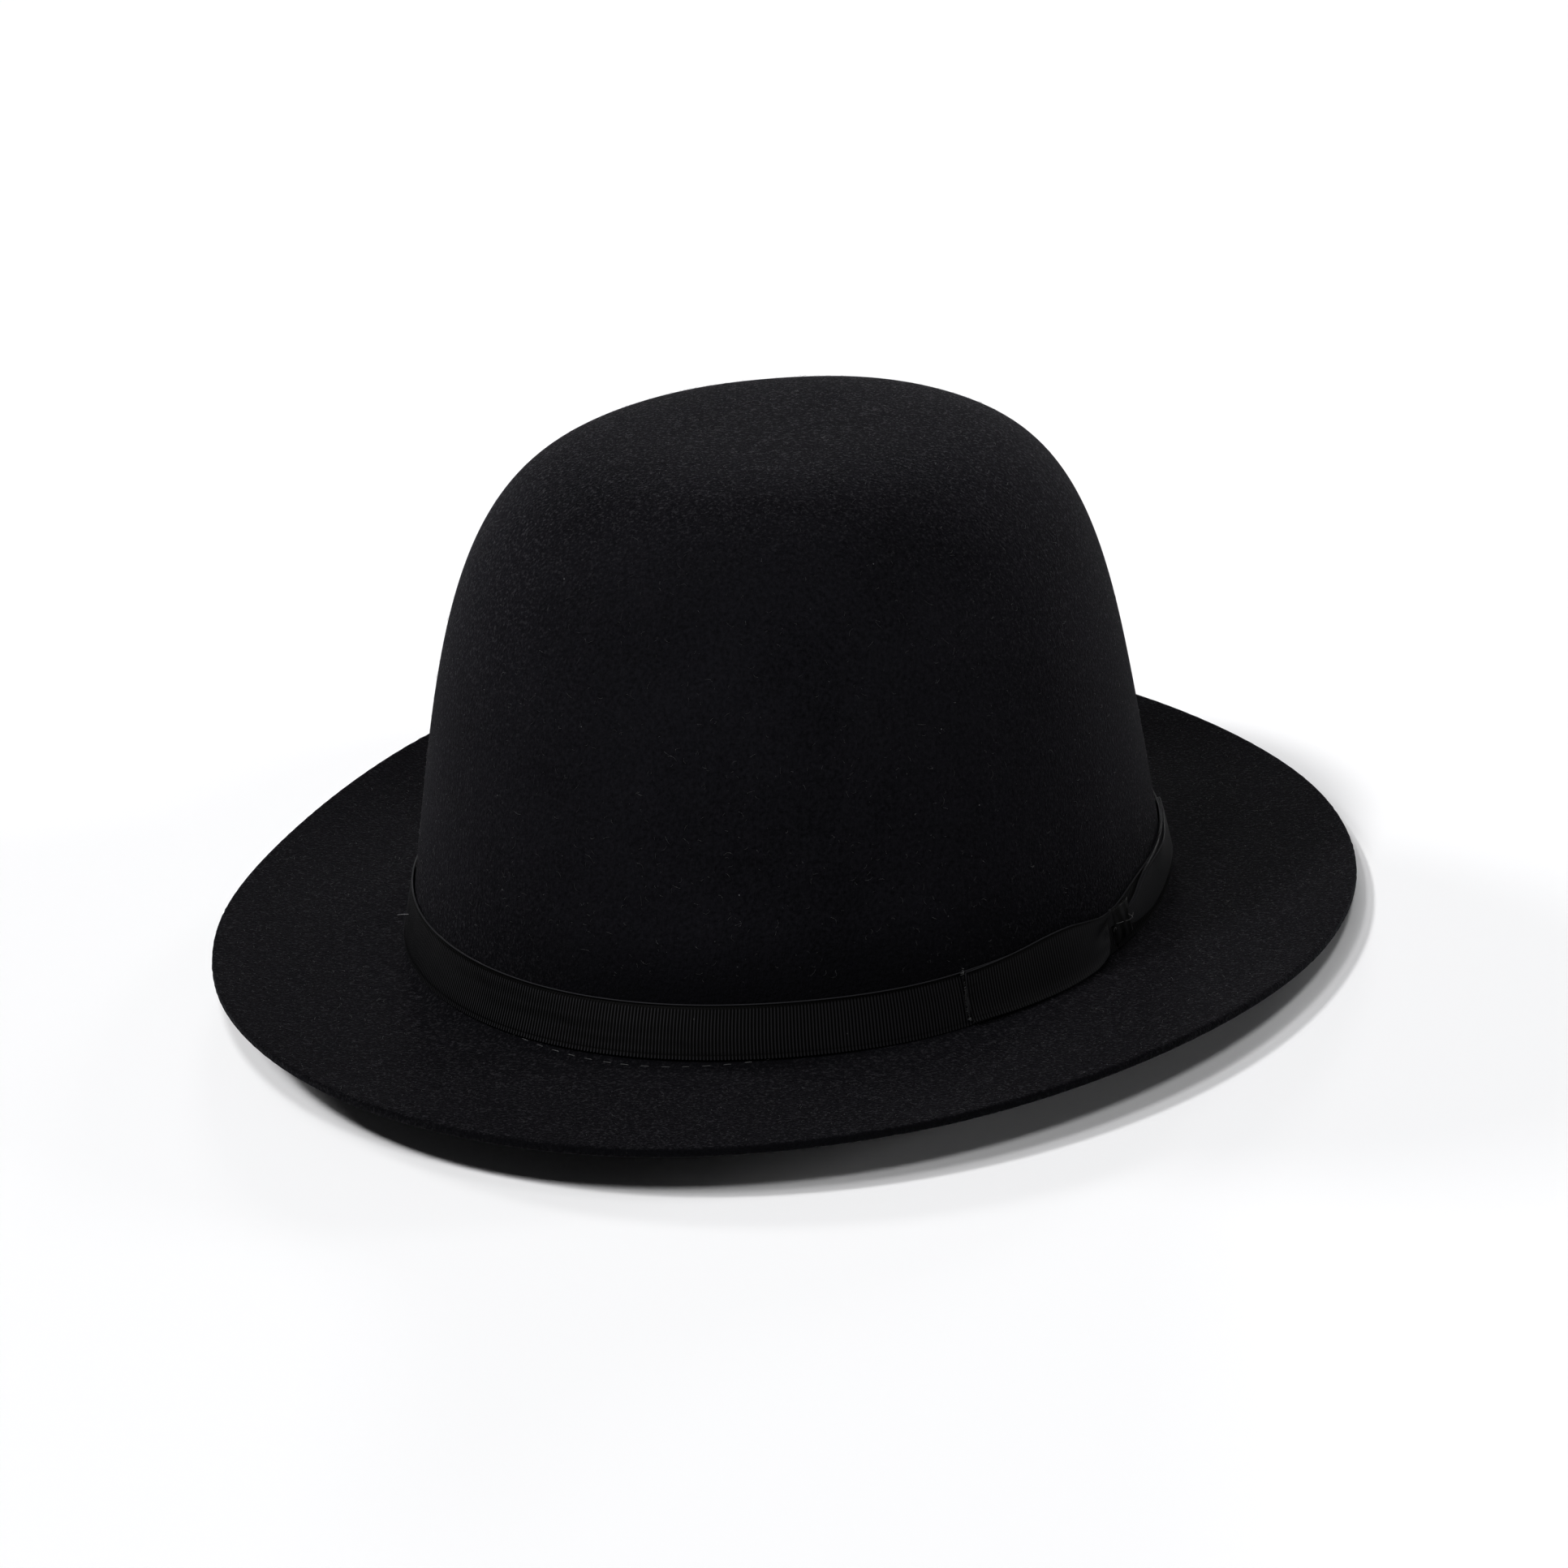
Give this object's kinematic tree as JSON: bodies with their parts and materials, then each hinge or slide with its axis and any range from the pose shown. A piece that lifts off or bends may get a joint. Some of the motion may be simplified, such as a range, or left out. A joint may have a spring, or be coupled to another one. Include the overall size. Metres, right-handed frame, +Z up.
{
  "type": "bowler hat",
  "caption": "Black felt hat with a round open crown, a nearly flat cut-edge brim, a narrow grosgrain ribbon and a flat side bow.",
  "frame": {"origin": "on the plane the hat stands on, under the middle of its box", "axes": "+Z up out of the crown, -Y the front of the hat, +X the wearer's left, where the bow is"},
  "size_m": [0.2646, 0.3066, 0.1161],
  "materials": {
    "felt": "fur felt with a short brushed nap, black",
    "grosgrain": "ribbed grosgrain ribbon, black",
    "leather": "thin smooth roan leather, dark brown",
    "tape": "matt woven tape, black",
    "reed": "drawn plastic cord",
    "satin": "satin lining, dark grey"
  },
  "bodies": {
    "root": {"felt_body": "felt", "hat_ribbon": "grosgrain", "bow_front_tail": "grosgrain", "bow_rear_loop": "grosgrain", "bow_knot": "grosgrain", "sweatband": "leather", "sweatband_reed": "reed", "reed_tape": "tape", "sweatband_seam_tape": "tape", "sweatband_bow_left_loop": "grosgrain", "sweatband_bow_right_loop": "grosgrain", "sweatband_bow_knot": "grosgrain", "lining_side": "satin", "lining_tip": "satin", "lining_piping": "satin"}
  },
  "joints": []
}
